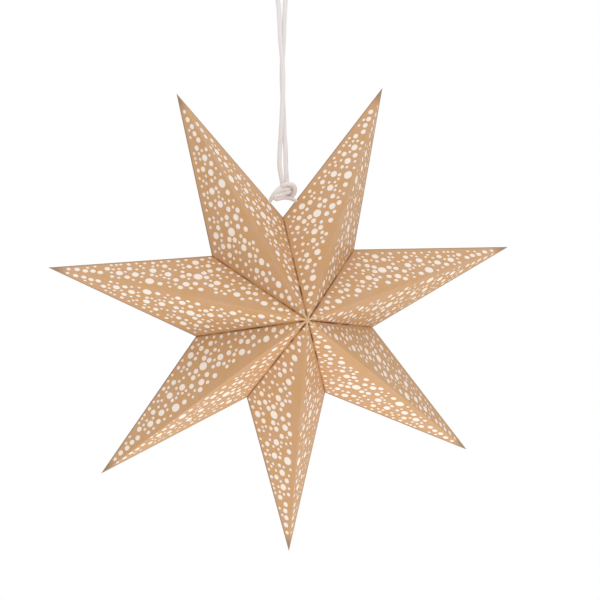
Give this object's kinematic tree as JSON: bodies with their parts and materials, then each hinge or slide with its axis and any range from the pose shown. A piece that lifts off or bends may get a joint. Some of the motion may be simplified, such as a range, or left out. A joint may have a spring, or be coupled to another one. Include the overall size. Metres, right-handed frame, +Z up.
{
  "type": "paper star",
  "caption": "Hollow folded kraft-card star with long slender points, punched all over with round dots that show a white paper lining, hung by a knotted cotton cord.",
  "frame": {"origin": "where the hanging cord's loop bears on a hook: the inside of the loop's top", "axes": "+Z up along the cord, +X to the right across the star, -Y out of the star's front"},
  "size_m": [0.5264, 0.186, 0.6502],
  "materials": {
    "kraft_card": "uncoated, matte",
    "lining_paper": "uncoated, matte",
    "cotton_cord": "soft, matte"
  },
  "bodies": {
    "root": {"point_1": "kraft_card", "point_2": "kraft_card", "point_3": "kraft_card", "point_4": "kraft_card", "point_5": "kraft_card", "point_6": "kraft_card", "point_7": "kraft_card", "lining_1": "lining_paper", "lining_2": "lining_paper", "lining_3": "lining_paper", "lining_4": "lining_paper", "lining_5": "lining_paper", "lining_6": "lining_paper", "lining_7": "lining_paper", "hanging_cord": "cotton_cord", "hanging_knot": "cotton_cord", "tie_cord": "cotton_cord"}
  },
  "joints": []
}
